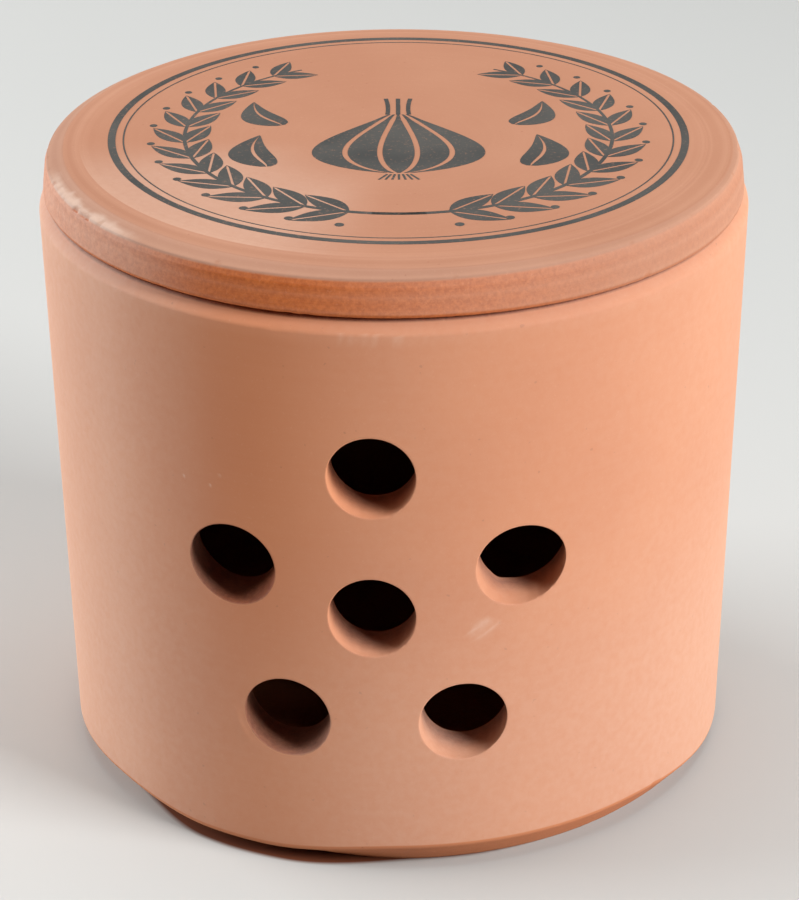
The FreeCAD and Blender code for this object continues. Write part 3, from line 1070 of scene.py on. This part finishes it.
def build_bulb(material):
    """A garlic bulb of solid cloves parted by bare seams, with stalk, roots and loose cloves beside it."""
    ink = Ink()
    for first, second in zip(BULB_SEAMS, BULB_SEAMS[1:]):
        left, right = bulb_seam(first), bulb_seam(second)
        gap = np.minimum(SEAM_GAP, 0.5 * (right[:, 0] - left[:, 0])) / 2
        left[:, 0] += gap
        right[:, 0] -= gap
        ink.strip(left, right)
    rise = np.linspace(0, 1, STALK_POINTS)
    for side in (-1, 0, 1):
        across = side * (STALK_HALF_WIDTH * (1 - STALK_TAPER * rise) + STALK_FLARE * rise ** 2)
        ink.ribbon(np.stack([across, BULB_FOOT + BULB_HEIGHT + STALK_LENGTH * rise], axis=1), STALK_LINE)
    for k in range(-ROOTS_EACH_SIDE, ROOTS_EACH_SIDE + 1):
        start = (k * ROOT_SPACING, BULB_FOOT - ROOT_FROM)
        ink.ribbon([start, (k * ROOT_END_SPACING, BULB_FOOT - ROOT_TO)], ROOT_LINE)
    for side in (-1, 1):
        for across, up, lean, size in CLOVES:
            clove(ink, (side * across, up), lean, side, size)
    return ink.finished("lid_print_bulb", material)


# ---------------------------------------------------------------- materials

def linear(code):
    """The linear colour of an sRGB hex code."""
    parts = [int(code[k:k + 2], 16) / 255 for k in (1, 3, 5)]
    return (*[c / 12.92 if c <= 0.04045 else ((c + 0.055) / 1.055) ** 2.4 for c in parts], 1.0)


def per_metre(millimetres):
    """Texture scale that makes one repeat this many millimetres long."""
    return 1000 / millimetres


def add(tree, kind, settings=None, **inputs):
    """Adds a node. An input is named by its label or number, and takes a value, a node or its output."""
    made = tree.nodes.new(kind)
    for name, value in (settings or {}).items():
        setattr(made, name, value)
    for name, value in inputs.items():
        socket = made.inputs[int(name[1:]) if name[0] == "_" else name.replace("_", " ")]
        if isinstance(value, bpy.types.Node):
            value = next(output for output in value.outputs if output.enabled)
        if isinstance(value, bpy.types.NodeSocket):
            tree.links.new(value, socket)
        else:
            socket.default_value = value
    return made


def new_material(name):
    material = bpy.data.materials.new(name)
    material.use_nodes = True
    material.node_tree.nodes.clear()
    return material, material.node_tree


NOISE, MIX, MATH, RANGE = "ShaderNodeTexNoise", "ShaderNodeMix", "ShaderNodeMath", "ShaderNodeMapRange"
COLOUR = {"data_type": "RGBA"}
MULTIPLY = {"operation": "MULTIPLY"}
SUM = {"operation": "MULTIPLY_ADD"}
PALE_GRAIN = "#E8B99C"
DARK_GROG = "#96563A"
RUBBED_AND_PAINTED_LIGHT_CLAY = "#F0DBCA"
THICK_INK = "#3A3A38"
THIN_INK = "#4E4C48"
BARE_CLAY = "#B98468"
PAPER = "#BEBFBD"
PAPER_CLOUD = "#C1C2C0"
CONTACT_SHADOW_BROWN = "#70391B"
WORLD_GREY = "#F2F2F2"


def terracotta(name, light, deep, torn_and_shade_colours, tool_marks):
    """Unglazed red earthenware, turned and sponged: matt, finely grained and cloudy from the kiln.

    It is paler where it is rubbed and where light is painted on, and deeper in colour and sandy where a tool
    has torn the surface and where shade is painted in.
    """
    material, tree = new_material(name)
    place = add(tree, "ShaderNodeTexCoord").outputs["Object"]
    worn = add(tree, "ShaderNodeAttribute", {"attribute_name": "worn"}).outputs["Fac"]
    raw = add(tree, "ShaderNodeAttribute", {"attribute_name": "raw"}).outputs["Fac"]

    # Tool marks run in rings: their noise sees only the distance from the axis and the height.
    axes = add(tree, "ShaderNodeSeparateXYZ", None, Vector=place).outputs
    flat = add(tree, "ShaderNodeCombineXYZ", None, X=axes[0], Y=axes[1])
    radius = add(tree, "ShaderNodeVectorMath", {"operation": "LENGTH"}, _0=flat)
    rings = add(tree, "ShaderNodeCombineXYZ", None, X=radius, Z=axes[2])
    tool = add(tree, NOISE, None, Vector=rings, Scale=per_metre(1.3), Detail=3.0, Roughness=0.6)

    kiln = add(tree, NOISE, None, Vector=place, Scale=per_metre(34), Detail=3.0)
    grain = add(tree, NOISE, None, Vector=place, Scale=per_metre(0.55), Detail=2.0, Roughness=0.6)
    sand = add(tree, NOISE, None, Vector=place, Scale=per_metre(0.8), Detail=3.0, Roughness=0.7)
    specks = add(tree, NOISE, None, Vector=place, Scale=per_metre(1.1), Detail=1.0)
    swell = add(tree, NOISE, None, Vector=place, Scale=per_metre(9), Detail=2.0)
    dusty = add(tree, NOISE, None, Vector=place, Scale=per_metre(1.6), Detail=3.0, Roughness=0.65)

    cloudy = add(tree, RANGE, None, Value=kiln, From_Min=0.35, From_Max=0.65)
    sponged = add(tree, MIX, COLOUR, _0=cloudy, _6=linear(light), _7=linear(deep))
    torn_share = add(tree, RANGE, None, Value=sand, From_Min=0.35, From_Max=0.65)
    torn_and_shaded = add(tree, MIX, COLOUR, _0=torn_share, _6=linear(torn_and_shade_colours[0]), _7=linear(torn_and_shade_colours[1]))
    clay = add(tree, MIX, COLOUR, _0=raw, _6=sponged, _7=torn_and_shaded)
    outer = add(tree, RANGE, None, Value=radius, From_Min=0.053, From_Max=0.057, To_Min=0.15, To_Max=1.0)
    tool_share = add(tree, RANGE, None, Value=tool, From_Min=0.40, From_Max=0.75, To_Max=tool_marks)
    tool_share = add(tree, MATH, MULTIPLY, _0=tool_share, _1=outer)
    clay = add(tree, MIX, COLOUR, _0=tool_share, _6=clay, _7=linear(PALE_GRAIN))
    grain_share = add(tree, RANGE, None, Value=grain, From_Min=0.62, From_Max=0.78, To_Max=0.12)
    clay = add(tree, MIX, COLOUR, _0=grain_share, _6=clay, _7=linear(PALE_GRAIN))
    grog_share = add(tree, RANGE, None, Value=specks, From_Min=0.24, From_Max=0.19, To_Max=0.30)
    clay = add(tree, MIX, COLOUR, _0=grog_share, _6=clay, _7=linear(DARK_GROG))
    patchy = add(tree, RANGE, None, Value=dusty, From_Min=0.25, From_Max=0.65, To_Min=0.75)
    # Wear and painted light both turn the clay towards the pale colour.
    rubbed = add(tree, MATH, MULTIPLY, _0=worn, _1=patchy)
    colour = add(tree, MIX, COLOUR, _0=rubbed, _6=clay, _7=linear(RUBBED_AND_PAINTED_LIGHT_CLAY))

    # Heights in millimetres: torn sand, then fine grain, tool marks and the soft swell of the sponge.
    torn_sand = add(tree, MATH, MULTIPLY, _0=sand, _1=raw)
    height = add(tree, MATH, MULTIPLY, _0=torn_sand, _1=0.045)
    height = add(tree, MATH, SUM, _0=grain, _1=0.012, _2=height)
    height = add(tree, MATH, SUM, _0=tool, _1=0.030 * tool_marks, _2=height)
    height = add(tree, MATH, SUM, _0=swell, _1=0.05, _2=height)
    bump = add(tree, "ShaderNodeBump", None, Strength=1.0, Distance=0.001, Height=height)
    shader = add(tree, "ShaderNodeBsdfPrincipled", None, Base_Color=colour, Roughness=0.7, IOR=1.5,
                 Diffuse_Roughness=0.6, Specular_IOR_Level=0.3, Normal=bump)
    add(tree, "ShaderNodeOutputMaterial", None, Surface=shader)
    return material


def printed_ink():
    """Screen-printed ceramic ink fired into the clay: matt grey, with grains of clay showing through."""
    material, tree = new_material("screen-printed fired ink")
    place = add(tree, "ShaderNodeTexCoord").outputs["Object"]
    pores = add(tree, NOISE, None, Vector=place, Scale=per_metre(0.7), Detail=3.0, Roughness=0.7)
    thick = add(tree, NOISE, None, Vector=place, Scale=per_metre(14), Detail=2.0)
    grain = add(tree, NOISE, None, Vector=place, Scale=per_metre(0.55), Detail=2.0, Roughness=0.6)
    faded = add(tree, RANGE, None, Value=thick, From_Min=0.30, From_Max=0.75)
    ink = add(tree, MIX, COLOUR, _0=faded, _6=linear(THICK_INK), _7=linear(THIN_INK))
    bare = add(tree, RANGE, None, Value=pores, From_Min=0.57, From_Max=0.82, To_Max=0.5)
    colour = add(tree, MIX, COLOUR, _0=bare, _6=ink, _7=linear(BARE_CLAY))
    height = add(tree, MATH, MULTIPLY, _0=grain, _1=0.012)
    bump = add(tree, "ShaderNodeBump", None, Strength=1.0, Distance=0.001, Height=height)
    shader = add(tree, "ShaderNodeBsdfPrincipled", None, Base_Color=colour, Roughness=0.75, IOR=1.5,
                 Normal=bump)
    add(tree, "ShaderNodeOutputMaterial", None, Surface=shader)
    return material


def backdrop_paper():
    """Matt studio paper: neutral pale grey, faintly cloudy, with a contact shadow painted dark brown under
    the pot's foot.
    """
    material, tree = new_material("matt backdrop paper")
    place = add(tree, "ShaderNodeTexCoord").outputs["Object"]
    cloud = add(tree, NOISE, None, Vector=place, Scale=per_metre(220), Detail=2.0)
    colour = add(tree, MIX, COLOUR, _0=cloud, _6=linear(PAPER), _7=linear(PAPER_CLOUD))
    dust = add(tree, "ShaderNodeAttribute", {"attribute_name": "dust"}).outputs["Fac"]
    colour = add(tree, MIX, COLOUR, _0=dust, _6=colour, _7=linear(CONTACT_SHADOW_BROWN))
    shader = add(tree, "ShaderNodeBsdfPrincipled", None, Base_Color=colour, Roughness=0.9)
    add(tree, "ShaderNodeOutputMaterial", None, Surface=shader)
    return material


# ---------------------------------------------------------------- stage, light and camera

STAGE_RADIUS = 4.0
STAGE_SEGMENTS = 96
PAPER_BELOW = 0.00005


def build_stage(material):
    """A round sheet of paper, wide enough to fill the view from any side."""
    points = np.column_stack([circle(STAGE_RADIUS, STAGE_SEGMENTS), np.zeros(STAGE_SEGMENTS)])
    stage = placed("stage_paper", material, points, [tuple(range(STAGE_SEGMENTS))])
    stage.location.z = cad_low.z - PAPER_BELOW


# A painted contact shadow on the paper under the foot: its radius, how far it reaches out at the front left,
# how it fades, and how far in it goes.
SHADOW_RADIUS = 0.0584
SHADOW_REACH, SHADOW_AT = 0.0034, (-24, 8, 32)
MORE_SHADOW_REACH, MORE_SHADOW_AT = 0.0008, (-5, 20, 40)
SHADOW_FADE = 0.0011
SHADOW_INSIDE = 0.006
SHADOW_BELOW = 0.00003
SHADOW_SEGMENTS = 384


def build_dust(material):
    """A contact shadow painted dark brown on the paper, under the foot and out to where that is undercut."""
    angles = seam_angles(SHADOW_SEGMENTS)
    edge = SHADOW_RADIUS + SHADOW_REACH * facing(angles, *SHADOW_AT) + MORE_SHADOW_REACH * facing(angles, *MORE_SHADOW_AT)
    rows = [around(radius, angles, 0.0) for radius in (edge, edge - SHADOW_FADE, SHADOW_RADIUS - SHADOW_INSIDE)]
    faces = []
    for start in (0, SHADOW_SEGMENTS):
        for k in range(SHADOW_SEGMENTS):
            here, after = start + k, start + (k + 1) % SHADOW_SEGMENTS
            faces.append((here, after, after + SHADOW_SEGMENTS, here + SHADOW_SEGMENTS))
    shadow_share = np.repeat([0.0, 1.0, 1.0], SHADOW_SEGMENTS)
    dust = placed("stage_dust", material, np.concatenate(rows), faces, dust=shadow_share)
    dust.location.z = cad_low.z - SHADOW_BELOW


LIGHT_AIM = Vector((0, 0, 0.06))
LIGHT_DISTANCE = 1.4

# A softbox is (name, degrees round to the right of the front, degrees up, width, height, watts).
SOFTBOXES = (
    ("key_softbox", 62, 30, 0.6, 0.6, 23.2),
    ("left_softbox", -106, 17, 1.4, 0.5, 28.5),
    ("high_softbox", -62, 60, 0.8, 0.8, 1.0),
    ("top_softbox", 170, 84, 1.0, 1.0, 10.2),
)
WORLD_STRENGTH = 0.02


def add_light(name, azimuth, elevation, width, height, power):
    """A white softbox that faces the pot."""
    turn, rise = math.radians(azimuth), math.radians(elevation)
    data = bpy.data.lights.new(name, "AREA")
    data.shape = "RECTANGLE"
    data.size, data.size_y = width, height
    data.energy = power
    lamp = bpy.data.objects.new(name, data)
    way = Vector((math.sin(turn) * math.cos(rise), -math.cos(turn) * math.cos(rise), math.sin(rise)))
    lamp.location = LIGHT_AIM + way * LIGHT_DISTANCE
    lamp.rotation_euler = way.to_track_quat("Z", "Y").to_euler()
    lamp.visible_camera = False
    bpy.context.scene.collection.objects.link(lamp)


def light_scene():
    for softbox in SOFTBOXES:
        add_light(*softbox)
    world = bpy.data.worlds.new("studio")
    world.use_nodes = True
    world.node_tree.nodes["Background"].inputs[0].default_value = linear(WORLD_GREY)
    world.node_tree.nodes["Background"].inputs[1].default_value = WORLD_STRENGTH
    bpy.context.scene.world = world
    bpy.context.scene.view_settings.view_transform = "Standard"


CAMERA_DISTANCE = 0.634
CAMERA_HEIGHT = 0.3584
CAMERA_AZIMUTH = math.radians(3.6)
CAMERA_YAW = math.radians(3.54)
CAMERA_PITCH = math.radians(25.59)
CAMERA_ROLL = math.radians(-0.46)
SENSOR_WIDTH = 36.0
FOCAL_LENGTH = 166.2


def build_camera():
    """Looks down at the front of the pot with a long lens."""
    data = bpy.data.cameras.new("camera")
    data.sensor_fit = "HORIZONTAL"
    data.sensor_width = SENSOR_WIDTH
    data.lens = FOCAL_LENGTH
    data.clip_start = 0.01
    camera = bpy.data.objects.new("camera", data)
    sideways, forward = math.sin(CAMERA_AZIMUTH), -math.cos(CAMERA_AZIMUTH)
    spot = Vector((sideways * CAMERA_DISTANCE, forward * CAMERA_DISTANCE, CAMERA_HEIGHT))
    turn = Matrix.Rotation(CAMERA_YAW, 4, "Z") @ Matrix.Rotation(math.pi / 2 - CAMERA_PITCH, 4, "X")
    camera.matrix_world = Matrix.Translation(spot) @ turn @ Matrix.Rotation(CAMERA_ROLL, 4, "Z")
    bpy.context.scene.collection.objects.link(camera)
    bpy.context.scene.camera = camera


# ---------------------------------------------------------------- putting it together

# The pot's torn colours are dark: they also paint the shade in the bores and in the gap under the lid.
pot_clay = terracotta(
    "turned terracotta of the pot",
    light="#D4895E",
    deep="#D0845A",
    torn_and_shade_colours=("#7E3512", "#95481B"),
    tool_marks=0.03,
)
lid_clay = terracotta(
    "turned terracotta of the lid",
    light="#B68267",
    deep="#B07B60",
    torn_and_shade_colours=("#B85C26", "#CD6F32"),
    tool_marks=0.16,
)
ink = printed_ink()

pot = build_pot(pot_clay)
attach(pot, "pot_body")
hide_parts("pot")

lid = build_lid(lid_clay)
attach(lid, "lid_body")
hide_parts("lid")

for build_print in (build_rings, build_wreath, build_bulb):
    printed = build_print(ink)
    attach(printed, "lid_body")

paper = backdrop_paper()
build_stage(paper)
build_dust(paper)
light_scene()
build_camera()

bpy.context.view_layer.update()
